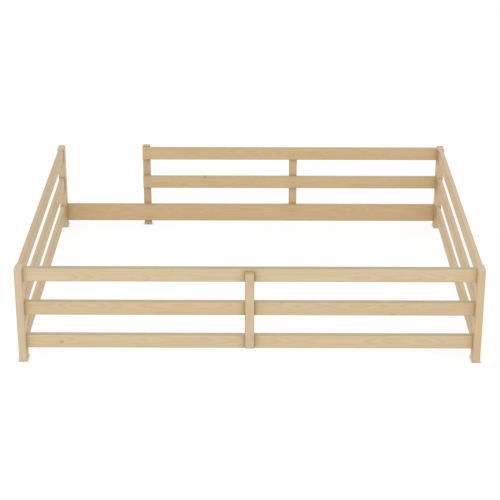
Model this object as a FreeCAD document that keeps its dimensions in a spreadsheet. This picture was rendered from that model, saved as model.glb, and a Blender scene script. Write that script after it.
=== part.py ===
import FreeCAD, Part
import math
import os
import re
import Sketcher
from FreeCAD import Placement, Rotation, Vector

# Toddler floor bed: low pine fencing round a mattress that lies on the floor.
# Millimetres, +Z up. The origin is on the floor, under the middle of the bed. +X runs
# along the bed to the right and +Y from the front side to the rear side. The way in is
# the gap between the left rear post and the end post of the rear fence.
#
# How it goes together: the end rails have tenons, glued into mortises in the posts, so
# each end of the bed is one panel. The long rails butt against the posts and are pulled
# up by connector bolts and barrel nuts, with two dowels beside each bolt. The uprights
# stand on the outer faces of the long rails and are screwed on from inside the bed: a short
# one has one screw at each rail, and the end post, which carries the open end of the rear
# fence, has two, one above the other.

# Driving sizes: alias, value, meaning.
SIZES = [
    ("overall_length", 2110.0, "outside of the left posts to outside of the right posts"),
    ("overall_width", 1655.0, "front of the front posts to back of the rear posts"),
    ("post_height", 463.0, "corner posts, floor to top"),
    ("post_width", 36.0, "corner post along the bed"),
    ("post_depth", 66.0, "corner post across the bed"),
    ("post_rounding", 5.0, "radius on the upright and top edges of a corner post"),
    ("end_chamfer", 1.5, "chamfer round the foot of a post and both ends of an upright"),
    ("post_above_rails", 2.5, "top of the top rails up to the tops of the posts"),
    ("rail_height", 67.0, "height of a regular rail"),
    ("rail_thickness", 24.0, "thickness of every rail"),
    ("rail_rounding", 3.0, "radius on the long edges of a rail and on the uprights"),
    ("floor_gap", 60.5, "floor to the underside of a regular bottom rail"),
    ("rear_bottom_height", 95.0, "height of the rear bottom rail, flush on top with the others"),
    ("entry_width", 426.5, "clear way in, from the left rear post to the fence"),
    ("upright_width", 42.0, "width of the short uprights"),
    ("upright_thickness", 24.0, "thickness of the uprights and of the fence end post"),
    ("end_post_width", 40.0, "width of the fence end post"),
    ("end_post_rise", 4.5, "tops of the corner posts up to the top of the fence end post"),
    ("upright_foot_step", 9.5, "underside of the bottom rail up to a short upright's foot"),
    ("upright_top_step", 15.5, "a short upright's upper end up to the top of the top rail"),
    ("tenon_thickness", 12.0, "tenon of an end rail"),
    ("tenon_shoulder", 10.0, "step above and below a tenon"),
    ("tenon_clearance", 0.2, "glue gap on each side of a tenon"),
    ("mortise_spare", 1.0, "room past the end of a tenon"),
    ("mortise_wall", 2.7, "wood between a mortise and the dowel holes behind it"),
    ("bolt_diameter", 6.0, "connector bolt"),
    ("bolt_reach", 2.0, "how far a bolt goes past the middle of its barrel nut"),
    ("bolt_head_diameter", 15.0, "flat head of the connector bolt"),
    ("bolt_head_height", 2.5, "flat head of the connector bolt"),
    ("bolt_key", 4.0, "hexagon socket across its flats"),
    ("bolt_key_depth", 2.0, "depth of the hexagon socket"),
    ("bolt_head_depth", 3.0, "depth of the counterbore in the post"),
    ("nut_diameter", 10.0, "barrel nut"),
    ("nut_length", 16.0, "barrel nut"),
    ("nut_inset", 30.0, "end of a rail to the middle of its barrel nut"),
    ("nut_slot", 1.5, "width and depth of the slot in the end of a barrel nut"),
    ("dowel_diameter", 8.0, "wooden dowel"),
    ("dowel_length", 38.0, "wooden dowel"),
    ("dowel_spacing", 40.0, "between the two dowels of a joint"),
    ("dowel_depth_in_post", 18.0, "how far a dowel stands in the post"),
    ("screw_diameter", 4.5, "countersunk wood screw"),
    ("screw_cover", 8.0, "wood left past the point of a screw"),
    ("screw_head_diameter", 9.0, "countersunk wood screw"),
    ("screw_inset", 18.0, "edges of a rail to the two screws of the end post"),
    ("screw_point", 4.0, "length of the screw's point"),
    ("hole_clearance", 0.3, "gap all round what stands in a drilled hole"),
    ("hole_spare", 1.0, "room past the end of what stands in a drilled hole"),
]

RAIL_LEVELS = (0, 1, 2)         # bottom, middle and top rail
SCREW_HEAD_ANGLE = 90.0         # degrees, countersunk head and countersink

# Sizes and places shared by several pieces, written in the sheet's aliases.
RAIL_STACK = "(post_height - post_above_rails - floor_gap - rail_height)"
LEVEL = f"floor_gap + rail_height / 2 + {{level}} * {RAIL_STACK} / {len(RAIL_LEVELS) - 1}"
POST_CENTRE_X = "(overall_length - post_width) / 2"
POST_CENTRE_Y = "(overall_width - post_depth) / 2"
REAR_BOTTOM_LEVEL = "floor_gap + rail_height - rear_bottom_height / 2"
REAR_BOTTOM_JOINT = "(rear_bottom_height - rail_height) / 2"
LONG_RAIL_LENGTH = "overall_length - 2 * post_width"
END_RAIL_LENGTH = "overall_width - 2 * post_depth"
FENCE_LENGTH = "overall_length - 2 * post_width - entry_width"
FENCE_CENTRE_X = "entry_width / 2"
FENCE_END_X = "post_width + entry_width + end_post_width / 2 - overall_length / 2"
REAR_UPRIGHT_X = f"({FENCE_END_X} + {POST_CENTRE_X}) / 2"
UPRIGHT_CENTRE_Y = f"({POST_CENTRE_Y} + (rail_thickness + upright_thickness) / 2)"
UPRIGHT_FOOT = "(floor_gap + upright_foot_step)"
UPRIGHT_LENGTH = f"post_height - post_above_rails - upright_top_step - {UPRIGHT_FOOT}"
TENON_LENGTH = ("(post_depth / 2 - dowel_diameter / 2 - hole_clearance"
                " - mortise_wall - mortise_spare)")
BOLT_IN_RAIL = "(nut_inset + bolt_reach)"
SCREW_LENGTH = "(rail_thickness + upright_thickness - screw_cover)"
BOLT_HOLE = "bolt_diameter + 2 * hole_clearance"
DOWEL_HOLE = "dowel_diameter + 2 * hole_clearance"
NUT_HOLE = "nut_diameter + 2 * hole_clearance"
SCREW_HOLE = "screw_diameter + 2 * hole_clearance"
SCREW_SINK = "screw_head_diameter + 2 * hole_clearance"
FENCE_SCREW_SPACING = "(rail_height - 2 * screw_inset)"
REAR_BOTTOM_SCREW_SPACING = "(rear_bottom_height - 2 * screw_inset)"
NUT_HOLE_DEPTH = "(rail_thickness + nut_length) / 2"

document = FreeCAD.newDocument("toddler_floor_bed")
sheet = document.addObject("Spreadsheet::Sheet", "Sizes")
pieces = []


def fill_sheet():
    """One row for each driving size: name, value with its alias, meaning."""
    for row, (alias, value, meaning) in enumerate(SIZES, start=1):
        sheet.set(f"A{row}", alias)
        sheet.set(f"B{row}", str(value))
        sheet.setAlias(f"B{row}", alias)
        sheet.set(f"C{row}", meaning)
    document.recompute()


def bound(text):
    """The expression for a text in which every alias stands for its cell."""
    aliases = "|".join(alias for alias, _, _ in SIZES)
    return re.sub(rf"\b({aliases})\b", r"Sizes.\1", text)


def bind(item, **expressions):
    """Bind properties; a double underscore in a name stands for a dot."""
    for name, text in expressions.items():
        item.setExpression(name.replace("__", "."), bound(text))


def place(item, x="0", y="0", z="0", turn=0.0):
    """Put a piece at a bound place, turned about +Z by whole degrees."""
    item.Placement = Placement(Vector(), Rotation(Vector(0, 0, 1), turn))
    bind(item, Placement__Base__x=x, Placement__Base__y=y, Placement__Base__z=z)


def new_body(name):
    body = document.addObject("PartDesign::Body", name)
    body.Label = name
    return body


def origin_feature(body, role):
    return next(item for item in body.Origin.OriginFeatures if item.Role == role)


def new_sketch(body, name, role, along="0", up="0", out="0"):
    """A sketch on an origin plane, moved along, up and out from that plane."""
    sketch = body.newObject("Sketcher::SketchObject", f"{body.Name}_{name}")
    sketch.AttachmentSupport = [(origin_feature(body, role), "")]
    sketch.MapMode = "FlatFace"
    bind(
        sketch,
        AttachmentOffset__Base__x=along,
        AttachmentOffset__Base__y=up,
        AttachmentOffset__Base__z=out,
    )
    return sketch


def constrain(sketch, name, value, *geometry):
    """A named driving constraint whose size is bound to the sheet."""
    index = sketch.addConstraint(Sketcher.Constraint(*geometry, 10.0))
    sketch.renameConstraint(index, name)
    sketch.setExpression(f"Constraints.{name}", bound(value))


def draw_rectangle(sketch, width, height):
    """A rectangle centred on the sketch's origin."""
    corners = [Vector(-9, -7, 0), Vector(9, -7, 0), Vector(9, 7, 0), Vector(-9, 7, 0)]
    for index, corner in enumerate(corners):
        sketch.addGeometry(Part.LineSegment(corner, corners[(index + 1) % 4]), False)
    for index in range(4):
        sketch.addConstraint(Sketcher.Constraint("Coincident", index, 2, (index + 1) % 4, 1))
    for index, kind in enumerate(["Horizontal", "Vertical", "Horizontal", "Vertical"]):
        sketch.addConstraint(Sketcher.Constraint(kind, index))
    sketch.addConstraint(Sketcher.Constraint("Symmetric", 0, 1, 2, 1, -1, 1))
    constrain(sketch, "wide", width, "DistanceX", 0, 1, 0, 2)
    constrain(sketch, "tall", height, "DistanceY", 1, 1, 1, 2)


def draw_slot(sketch, width, height):
    """An upright slot with round ends, centred on the sketch's origin."""
    up = Vector(0, 0, 1)
    upper = Part.ArcOfCircle(Part.Circle(Vector(0, 9, 0), up, 4), 0, math.pi)
    lower = Part.ArcOfCircle(Part.Circle(Vector(0, -9, 0), up, 4), math.pi, 2 * math.pi)
    sketch.addGeometry(upper, False)
    sketch.addGeometry(Part.LineSegment(Vector(-4, 9, 0), Vector(-4, -9, 0)), False)
    sketch.addGeometry(lower, False)
    sketch.addGeometry(Part.LineSegment(Vector(4, -9, 0), Vector(4, 9, 0)), False)
    for index, following in ((0, 1), (1, 2), (2, 3), (3, 0)):
        sketch.addConstraint(Sketcher.Constraint("Tangent", index, 2, following, 1))
    sketch.addConstraint(Sketcher.Constraint("Vertical", 1))
    sketch.addConstraint(Sketcher.Constraint("Equal", 0, 2))
    sketch.addConstraint(Sketcher.Constraint("Symmetric", 0, 3, 2, 3, -1, 1))
    constrain(sketch, "round_end", f"({width}) / 2", "Radius", 0)
    constrain(sketch, "centres", f"({height}) - ({width})", "DistanceY", 2, 3, 0, 3)


def draw_hole(sketch, diameter):
    """One circle on the sketch's origin."""
    index = sketch.addGeometry(Part.Circle(Vector(), Vector(0, 0, 1), 3), False)
    sketch.addConstraint(Sketcher.Constraint("Coincident", index, 3, -1, 1))
    constrain(sketch, "bore", diameter, "Diameter", index)


def draw_hole_pair(sketch, diameter, spacing):
    """Two equal circles, one above the other, about the sketch's origin."""
    first = sketch.addGeometry(Part.Circle(Vector(0, -8, 0), Vector(0, 0, 1), 3), False)
    second = sketch.addGeometry(Part.Circle(Vector(0, 8, 0), Vector(0, 0, 1), 3), False)
    sketch.addConstraint(Sketcher.Constraint("Equal", first, second))
    sketch.addConstraint(Sketcher.Constraint("Symmetric", first, 3, second, 3, -1, 1))
    sketch.addConstraint(Sketcher.Constraint("Vertical", first, 3, second, 3))
    constrain(sketch, "apart", spacing, "DistanceY", first, 3, second, 3)
    constrain(sketch, "bore", diameter, "Diameter", first)


def pad(body, sketch, length, midplane=False, backwards=False):
    feature = body.newObject("PartDesign::Pad", f"{sketch.Name}_pad")
    feature.Profile = sketch
    feature.Midplane = midplane
    feature.Reversed = backwards
    bind(feature, Length=length)
    document.recompute()
    return feature


def checked_cut(body, feature, before):
    """A cut that misses the solid shows no error, so the volume is compared."""
    document.recompute()
    if body.Shape.Volume > before - 1.0:
        raise RuntimeError(f"{feature.Name} cuts nothing")
    return feature


def pocket(body, sketch, depth, backwards=False):
    """Cut a sketch into the solid, against the sketch's normal unless backwards."""
    before = body.Shape.Volume
    feature = body.newObject("PartDesign::Pocket", f"{sketch.Name}_pocket")
    feature.Profile = sketch
    feature.Reversed = backwards
    bind(feature, Length=depth)
    return checked_cut(body, feature, before)


def through_hole(body, sketch, diameter, kind, cut_diameter, cut_depth=None, backwards=False):
    """A hole right through, with a counterbore or a countersink where it starts."""
    before = body.Shape.Volume
    feature = body.newObject("PartDesign::Hole", f"{sketch.Name}_hole")
    feature.Profile = sketch
    feature.DepthType = "ThroughAll"
    feature.Reversed = backwards
    feature.HoleCutType = kind
    bind(feature, Diameter=diameter, HoleCutDiameter=cut_diameter)
    if cut_depth:
        bind(feature, HoleCutDepth=cut_depth)
    else:
        feature.HoleCutCountersinkAngle = SCREW_HEAD_ANGLE
    return checked_cut(body, feature, before)


def repeat_up(body, features):
    """Repeat features at every rail level, starting from the bottom one."""
    pattern = body.newObject("PartDesign::LinearPattern", f"{features[0].Name}_levels")
    pattern.Originals = features
    pattern.Direction = (origin_feature(body, "Z_Axis"), [""])
    pattern.Occurrences = len(RAIL_LEVELS)
    bind(pattern, Length=RAIL_STACK)
    body.Tip = pattern
    document.recompute()


def mirror_ends(body, features):
    """Repeat the features of one end at the other end of a rail."""
    mirror = body.newObject("PartDesign::Mirrored", f"{features[0].Name}_far_end")
    mirror.Originals = features
    mirror.MirrorPlane = (origin_feature(body, "YZ_Plane"), [""])
    body.Tip = mirror
    document.recompute()


def edge_names(body, wanted):
    """The names of the straight edges for which wanted(direction, middle) holds."""
    names = []
    for index, edge in enumerate(body.Shape.Edges, start=1):
        if edge.Degenerated or not isinstance(edge.Curve, Part.Line):
            continue
        if wanted(edge.Curve.Direction, edge.CenterOfMass):
            names.append(f"Edge{index}")
    return names


def round_edges(body, base, radius, wanted):
    feature = body.newObject("PartDesign::Fillet", f"{body.Name}_rounding")
    feature.Base = (base, edge_names(body, wanted))
    bind(feature, Radius=radius)
    document.recompute()
    return feature


def chamfer_ends(body, base, upper_end=False):
    """A small chamfer round the lower end and, where asked, round the upper one."""
    top = body.Shape.BoundBox.ZMax
    feature = body.newObject("PartDesign::Chamfer", f"{body.Name}_ends")
    feature.Base = (base, edge_names(
        body, lambda _, middle: middle.z < 0.01 or upper_end and middle.z > top - 0.01
    ))
    bind(feature, Size="end_chamfer")
    document.recompute()


def keep(piece):
    pieces.append(piece)
    return piece


def corner_post(name, outer, mortised, bolted_levels):
    """A corner post: outer is the X side of its bolt heads, mortised the Y side."""
    body = new_body(name)
    section = new_sketch(body, "section", "XY_Plane")
    draw_rectangle(section, "post_width", "post_depth")
    blank = pad(body, section, "post_height")
    round_edges(
        body, blank, "post_rounding",
        lambda direction, middle: abs(direction.z) > 0.99 or middle.z > 1.0,
    )
    chamfer_ends(body, body.Tip)
    bottom = LEVEL.format(level=0)

    # The plane's normal is -Y, so a mortise in the +Y side is cut along the normal.
    mortise = new_sketch(body, "mortise", "XZ_Plane", up=bottom, out=f"{-mortised} * post_depth / 2")
    draw_slot(
        mortise,
        "tenon_thickness + 2 * tenon_clearance",
        "rail_height - 2 * tenon_shoulder + 2 * tenon_clearance",
    )
    cut = pocket(body, mortise, f"{TENON_LENGTH} + mortise_spare", backwards=mortised > 0)
    repeat_up(body, [cut])

    # The plane's normal is +X: bolts go in from the outer face, dowels from the inner.
    bolt = new_sketch(body, "bolt", "YZ_Plane", up=bottom, out=f"{outer} * post_width / 2")
    draw_hole(bolt, BOLT_HOLE)
    bolt_hole = through_hole(
        body, bolt, BOLT_HOLE, "Counterbore",
        "bolt_head_diameter + 2 * hole_clearance", "bolt_head_depth", backwards=outer < 0,
    )
    dowels = new_sketch(body, "dowels", "YZ_Plane", up=bottom, out=f"{-outer} * post_width / 2")
    draw_hole_pair(dowels, DOWEL_HOLE, "dowel_spacing")
    dowel_holes = pocket(body, dowels, "dowel_depth_in_post + hole_spare", backwards=outer > 0)
    if len(bolted_levels) > 1:
        repeat_up(body, [bolt_hole, dowel_holes])
    place(body, f"{outer} * {POST_CENTRE_X}", f"{-mortised} * {POST_CENTRE_Y}")
    return keep(body)


def rail_blank(name, length, height):
    """A rail along X, centred on its own origin, with its four long edges rounded."""
    body = new_body(name)
    section = new_sketch(body, "section", "YZ_Plane")
    draw_rectangle(section, "rail_thickness", height)
    blank = pad(body, section, length, midplane=True)
    round_edges(body, blank, "rail_rounding", lambda direction, _: abs(direction.x) > 0.99)
    return body


def drill_bolted_end(body, length, joint="0"):
    """The right end of a long rail: bolt, two dowels, and the barrel nut's cross hole."""
    end = f"({length}) / 2"
    bolt = new_sketch(body, "bolt", "YZ_Plane", up=joint, out=end)
    draw_hole(bolt, BOLT_HOLE)
    features = [pocket(body, bolt, f"{BOLT_IN_RAIL} + hole_spare")]
    dowels = new_sketch(body, "dowels", "YZ_Plane", up=joint, out=end)
    draw_hole_pair(dowels, DOWEL_HOLE, "dowel_spacing")
    features.append(pocket(body, dowels, "dowel_length - dowel_depth_in_post + hole_spare"))
    # The cross hole starts in the rail's back face, on +Y.
    nut = new_sketch(
        body, "nut", "XZ_Plane", along=f"{end} - nut_inset", up=joint, out="-rail_thickness / 2"
    )
    draw_hole(nut, NUT_HOLE)
    features.append(pocket(body, nut, NUT_HOLE_DEPTH, backwards=True))
    return features


def screw_sketch(body, name, side, thickness, along, up, spacing):
    """One screw hole, or two that are a spacing apart, on the face towards the mattress."""
    sketch = new_sketch(
        body, name, "XZ_Plane", along=along, up=up, out=f"{side} * {thickness} / 2"
    )
    if spacing:
        draw_hole_pair(sketch, SCREW_HOLE, spacing)
    else:
        draw_hole(sketch, SCREW_HOLE)
    return sketch


def rail_screw_holes(body, name, side, x, up="0", spacing=None):
    """The countersunk holes of a rail where an upright stands behind it."""
    sketch = screw_sketch(body, name, side, "rail_thickness", x, up, spacing)
    through_hole(body, sketch, SCREW_HOLE, "Countersink", SCREW_SINK, backwards=side < 0)


def front_rail(name, level):
    body = rail_blank(name, LONG_RAIL_LENGTH, "rail_height")
    mirror_ends(body, drill_bolted_end(body, LONG_RAIL_LENGTH))
    rail_screw_holes(body, "upright_screw", -1, "0")
    place(body, "0", f"-{POST_CENTRE_Y}", LEVEL.format(level=level))
    return keep(body)


def rear_bottom_rail():
    body = rail_blank("rear_bottom_rail", LONG_RAIL_LENGTH, "rear_bottom_height")
    mirror_ends(body, drill_bolted_end(body, LONG_RAIL_LENGTH, REAR_BOTTOM_JOINT))
    rail_screw_holes(body, "upright_screw", 1, REAR_UPRIGHT_X, REAR_BOTTOM_JOINT)
    rail_screw_holes(
        body, "end_post_screws", 1, FENCE_END_X, spacing=REAR_BOTTOM_SCREW_SPACING
    )
    place(body, "0", POST_CENTRE_Y, REAR_BOTTOM_LEVEL)
    return keep(body)


def fence_rail(name, level):
    body = rail_blank(name, FENCE_LENGTH, "rail_height")
    drill_bolted_end(body, FENCE_LENGTH)
    rail_screw_holes(body, "upright_screw", 1, f"{REAR_UPRIGHT_X} - {FENCE_CENTRE_X}")
    rail_screw_holes(
        body, "end_post_screws", 1, f"{FENCE_END_X} - {FENCE_CENTRE_X}",
        spacing=FENCE_SCREW_SPACING,
    )
    place(body, FENCE_CENTRE_X, POST_CENTRE_Y, LEVEL.format(level=level))
    return keep(body)


def end_rail(name, side, level):
    """A rail across the bed with a round edged tenon on each end."""
    body = rail_blank(name, END_RAIL_LENGTH, "rail_height")
    tenon = new_sketch(body, "tenon", "YZ_Plane", out=f"({END_RAIL_LENGTH}) / 2")
    draw_slot(tenon, "tenon_thickness", "rail_height - 2 * tenon_shoulder")
    mirror_ends(body, [pad(body, tenon, TENON_LENGTH)])
    place(body, f"{side} * {POST_CENTRE_X}", "0", LEVEL.format(level=level), turn=90.0)
    return keep(body)


def upright(name, x, side, width, foot, length, crossings):
    """A flat stay on the front rails, side -1, or the rear ones, side 1, from its foot up."""
    body = new_body(name)
    section = new_sketch(body, "section", "XY_Plane")
    draw_rectangle(section, width, "upright_thickness")
    blank = pad(body, section, length)
    round_edges(body, blank, "rail_rounding", lambda direction, _: abs(direction.z) > 0.99)
    chamfer_ends(body, body.Tip, upper_end=True)
    for number, (height, spacing) in enumerate(crossings, start=1):
        screws = screw_sketch(
            body, f"screws_{number}", side, "upright_thickness", "0", f"{height} - {foot}", spacing
        )
        pocket(body, screws, f"{SCREW_LENGTH} - rail_thickness + hole_spare", backwards=side < 0)
    place(body, x, f"{side} * {UPRIGHT_CENTRE_Y}", foot)
    return keep(body)


def draw_profile(sketch, points):
    """A closed outline of straight lines, to be turned about the sketch's upright axis."""
    count = len(points)
    for index in range(count):
        start = Vector(index + 1.0, index + 2.0, 0)
        end = Vector((index + 1) % count + 1.0, (index + 1) % count + 2.0, 0)
        sketch.addGeometry(Part.LineSegment(start, end), False)
    for index in range(count):
        following = (index + 1) % count
        sketch.addConstraint(Sketcher.Constraint("Coincident", index, 2, following, 1))
    for index, (radius, height) in enumerate(points):
        if radius == "0":
            sketch.addConstraint(Sketcher.Constraint("PointOnObject", index, 1, -2))
        else:
            constrain(sketch, f"radius_{index}", radius, "DistanceX", -1, 1, index, 1)
        if height == "0":
            sketch.addConstraint(Sketcher.Constraint("PointOnObject", index, 1, -1))
        else:
            constrain(sketch, f"height_{index}", height, "DistanceY", -1, 1, index, 1)


def turned_blank(name, points):
    """A body turned about Z, from the outline of (radius, height) points."""
    body = new_body(name)
    outline = new_sketch(body, "outline", "XZ_Plane")
    draw_profile(outline, points)
    turned = body.newObject("PartDesign::Revolution", f"{name}_turned")
    turned.Profile = outline
    turned.ReferenceAxis = (outline, ["V_Axis"])
    turned.Angle = 360.0
    document.recompute()
    return body


def connector_bolt():
    """Head at the origin with its hexagon socket, shank along +Z."""
    head = "bolt_head_diameter / 2"
    shank = "bolt_diameter / 2"
    tip = f"bolt_head_height + post_width - bolt_head_depth + {BOLT_IN_RAIL}"
    body = turned_blank("connector_bolt", [
        ("0", "0"),
        (head, "0"),
        (head, "bolt_head_height"),
        (shank, "bolt_head_height"),
        (shank, tip),
        ("0", tip),
    ])
    socket = new_sketch(body, "socket", "XY_Plane")
    corners = [Vector(math.cos(turn * math.pi / 3), math.sin(turn * math.pi / 3), 0) * 2
               for turn in range(6)]
    for index, corner in enumerate(corners):
        socket.addGeometry(Part.LineSegment(corner, corners[(index + 1) % 6]), False)
    rim = socket.addGeometry(Part.Circle(Vector(), Vector(0, 0, 1), 2), True)
    socket.addConstraint(Sketcher.Constraint("Coincident", rim, 3, -1, 1))
    for index in range(6):
        socket.addConstraint(Sketcher.Constraint("Coincident", index, 2, (index + 1) % 6, 1))
        socket.addConstraint(Sketcher.Constraint("PointOnObject", index, 1, rim))
    for index in range(5):
        socket.addConstraint(Sketcher.Constraint("Equal", index, index + 1))
    socket.addConstraint(Sketcher.Constraint("PointOnObject", 0, 1, -1))
    constrain(socket, "across_corners", "bolt_key / cos(30)", "Diameter", rim)
    pocket(body, socket, "bolt_key_depth", backwards=True)
    return body


def barrel_nut():
    """Centred on the origin along Z, with the bolt's bore along X and a screwdriver slot."""
    body = new_body("barrel_nut")
    section = new_sketch(body, "section", "XY_Plane")
    draw_hole(section, "nut_diameter")
    pad(body, section, "nut_length", midplane=True)
    bore = new_sketch(body, "bore", "YZ_Plane", out="nut_diameter")
    draw_hole(bore, BOLT_HOLE)
    pocket(body, bore, "2 * nut_diameter")
    slot = new_sketch(body, "slot", "XY_Plane", out="nut_length / 2")
    draw_rectangle(slot, "1.5 * nut_diameter", "nut_slot")
    pocket(body, slot, "nut_slot")
    return body


def dowel():
    """Centred on the origin along Z."""
    body = new_body("dowel")
    section = new_sketch(body, "section", "XY_Plane")
    draw_hole(section, "dowel_diameter")
    pad(body, section, "dowel_length", midplane=True)
    return body


def wood_screw():
    """Countersunk head at the origin, point along +Z."""
    head = "screw_head_diameter / 2"
    shank = "screw_diameter / 2"
    return turned_blank("wood_screw", [
        ("0", "0"),
        (head, "0"),
        (shank, f"{head} - {shank}"),
        (shank, f"{SCREW_LENGTH} - screw_point"),
        ("0", SCREW_LENGTH),
    ])


def fastener_group(name, master, rotation, spots):
    """One node of like fasteners: linked copies of a master at bound places."""
    links = []
    for number, (x, y, z) in enumerate(spots, start=1):
        link = document.addObject("App::Link", f"{name}_{number}")
        link.LinkedObject = master
        link.Placement = Placement(Vector(), rotation)
        bind(link, Placement__Base__x=x, Placement__Base__y=y, Placement__Base__z=z)
        links.append(link)
    group = document.addObject("Part::Compound", name)
    group.Label = name
    group.Links = links
    return keep(group)


def bolted_corner(corner, outer, side, levels):
    """Bolts, barrel nuts and dowels of the long rails that end at one corner post."""
    across = f"{side} * {POST_CENTRE_Y}"
    heights = [LEVEL.format(level=level) for level in levels]
    head_x = f"{outer} * (overall_length / 2 + bolt_head_height - bolt_head_depth)"
    nut_x = f"{outer} * (overall_length / 2 - post_width - nut_inset)"
    dowel_x = (f"{outer} * (overall_length / 2 - post_width + dowel_depth_in_post"
               " - dowel_length / 2)")
    inwards = Rotation(Vector(0, 1, 0), -90.0 * outer)
    fastener_group(
        f"{corner}_bolts", bolt_master, inwards, [(head_x, across, height) for height in heights]
    )
    fastener_group(
        f"{corner}_barrel_nuts", nut_master, Rotation(Vector(1, 0, 0), -90.0),
        [(nut_x, across, height) for height in heights],
    )
    fastener_group(
        f"{corner}_dowels", dowel_master, inwards,
        [(dowel_x, across, f"{height} + {step} * dowel_spacing / 2")
         for height in heights for step in (-1, 1)],
    )


def crossing_screws(name, x, side, crossings):
    """The screws of an upright: heads on the rails' inner faces, points in the upright."""
    head_y = f"{side} * ({POST_CENTRE_Y} - rail_thickness / 2)"
    spots = []
    for height, spacing in crossings:
        steps = (-1, 1) if spacing else (0,)
        spots += [(x, head_y, f"{height} + {step} * {spacing or 0} / 2") for step in steps]
    fastener_group(name, screw_master, Rotation(Vector(1, 0, 0), -90.0 * side), spots)


def export_pieces():
    """Check every object and every piece, then write one file for each piece."""
    document.recompute()
    for item in document.Objects:
        if "Invalid" in item.State or "Error" in item.State:
            raise RuntimeError(f"{item.Name} has not been computed")
        if item.TypeId == "Sketcher::SketchObject" and not item.FullyConstrained:
            raise RuntimeError(f"{item.Name} is not fully constrained")
    for piece in pieces:
        if piece.Shape.isNull() or not piece.Shape.isValid():
            raise RuntimeError(f"{piece.Label} has no valid shape")
    os.makedirs("parts", exist_ok=True)
    for piece in pieces:
        piece.Shape.exportStep(f"parts/{piece.Label}.step")


fill_sheet()
corner_post("front_left_post", -1, 1, RAIL_LEVELS)
corner_post("front_right_post", 1, 1, RAIL_LEVELS)
corner_post("rear_left_post", -1, -1, RAIL_LEVELS[:1])
corner_post("rear_right_post", 1, -1, RAIL_LEVELS)
for rail_level, level_name in zip(RAIL_LEVELS, ("bottom", "middle", "top")):
    front_rail(f"front_{level_name}_rail", rail_level)
    end_rail(f"left_{level_name}_rail", -1, rail_level)
    end_rail(f"right_{level_name}_rail", 1, rail_level)
rear_bottom_rail()
fence_rail("fence_middle_rail", 1)
fence_rail("fence_top_rail", 2)

# Where each rail crosses an upright: the height, and the spacing of a pair of screws.
single_screws = [(LEVEL.format(level=level), None) for level in RAIL_LEVELS]
end_post_screws = [
    (REAR_BOTTOM_LEVEL, REAR_BOTTOM_SCREW_SPACING),
    (LEVEL.format(level=1), FENCE_SCREW_SPACING),
    (LEVEL.format(level=2), FENCE_SCREW_SPACING),
]
upright(
    "front_upright", "0", -1, "upright_width", UPRIGHT_FOOT, UPRIGHT_LENGTH, single_screws
)
upright(
    "rear_upright", REAR_UPRIGHT_X, 1, "upright_width", UPRIGHT_FOOT, UPRIGHT_LENGTH,
    single_screws,
)
upright(
    "fence_end_post", FENCE_END_X, 1, "end_post_width", "0", "post_height + end_post_rise",
    end_post_screws,
)

bolt_master = connector_bolt()
nut_master = barrel_nut()
dowel_master = dowel()
screw_master = wood_screw()
bolted_corner("front_left", -1, -1, RAIL_LEVELS)
bolted_corner("front_right", 1, -1, RAIL_LEVELS)
bolted_corner("rear_left", -1, 1, RAIL_LEVELS[:1])
bolted_corner("rear_right", 1, 1, RAIL_LEVELS)
crossing_screws("front_upright_screws", "0", -1, single_screws)
crossing_screws("rear_upright_screws", REAR_UPRIGHT_X, 1, single_screws)
crossing_screws("fence_end_post_screws", FENCE_END_X, 1, end_post_screws)
export_pieces()
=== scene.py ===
import math
import random
from collections import namedtuple

import bmesh
import bpy
from mathutils import Euler, Matrix, Vector


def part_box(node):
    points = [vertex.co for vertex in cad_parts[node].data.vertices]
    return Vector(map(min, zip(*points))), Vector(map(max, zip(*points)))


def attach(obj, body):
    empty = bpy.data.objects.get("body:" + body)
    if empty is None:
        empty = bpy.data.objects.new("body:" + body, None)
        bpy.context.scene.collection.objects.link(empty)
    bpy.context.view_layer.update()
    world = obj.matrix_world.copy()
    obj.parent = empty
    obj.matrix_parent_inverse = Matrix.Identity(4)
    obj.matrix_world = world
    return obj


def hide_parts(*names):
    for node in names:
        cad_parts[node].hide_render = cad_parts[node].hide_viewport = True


# Looks of a low pine bed frame that stands round a mattress on the floor. Lengths are in
# metres: +X runs along the bed, +Y from its front side to its rear side, +Z up.

bl_info = {
    "name": "Floor bed finishes",
    "version": (1, 0, 0),
    "blender": (4, 5, 0),
    "location": "3D View > Sidebar > Floor Bed",
    "description": "Lacquered pine boards, zinc fittings and a white studio for a floor bed",
    "category": "Object",
}

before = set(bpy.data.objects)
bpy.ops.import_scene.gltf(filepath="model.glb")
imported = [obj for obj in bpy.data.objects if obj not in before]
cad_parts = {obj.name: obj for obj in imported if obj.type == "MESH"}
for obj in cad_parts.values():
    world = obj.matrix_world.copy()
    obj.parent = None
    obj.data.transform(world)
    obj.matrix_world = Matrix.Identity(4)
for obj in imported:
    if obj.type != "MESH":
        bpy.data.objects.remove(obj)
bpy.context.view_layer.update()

PICTURE_SIDE = 500                      # pixels, the picture is square
SENSOR = 36.0                           # millimetres
KEY_PLACE = (-0.8, -5.6, 4.4)           # the soft lamp, above the camera and to its left
KEY_AIM = (0.0, 0.0, 0.2)
KEY_SIZE = (3.2, 2.0)
WHITE = (1.0, 1.0, 1.0, 1.0)
FLOOR_RADIUS = 40.0
FLOOR_DROP = 0.0005                     # keeps the floor clear of the undersides of the feet

CORNERS = ("front_left", "front_right", "rear_left", "rear_right")
ROWS = ("top", "middle", "bottom")
UPRIGHTS = ("front_upright", "rear_upright", "fence_end_post")
TOUCHING = 0.001                        # boards this close stand against each other
SIDE_FADE = (0.0016, 0.0002)            # a side's look starts and is full this far inside
CUT_FADE = (0.0012, 0.0004)             # the same for the look of a sawn end
TOP_LIGHT = 0.9                         # share of a joint's shade that a top side is spared
CUT_RINGS = 0.30                        # how much more the rings show on a sawn end
CUT_SHADE = 0.10                        # how much darker a sawn end is
PALE_END_RINGS = 0.35                     # how much the rings show on a post's pale end
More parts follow.
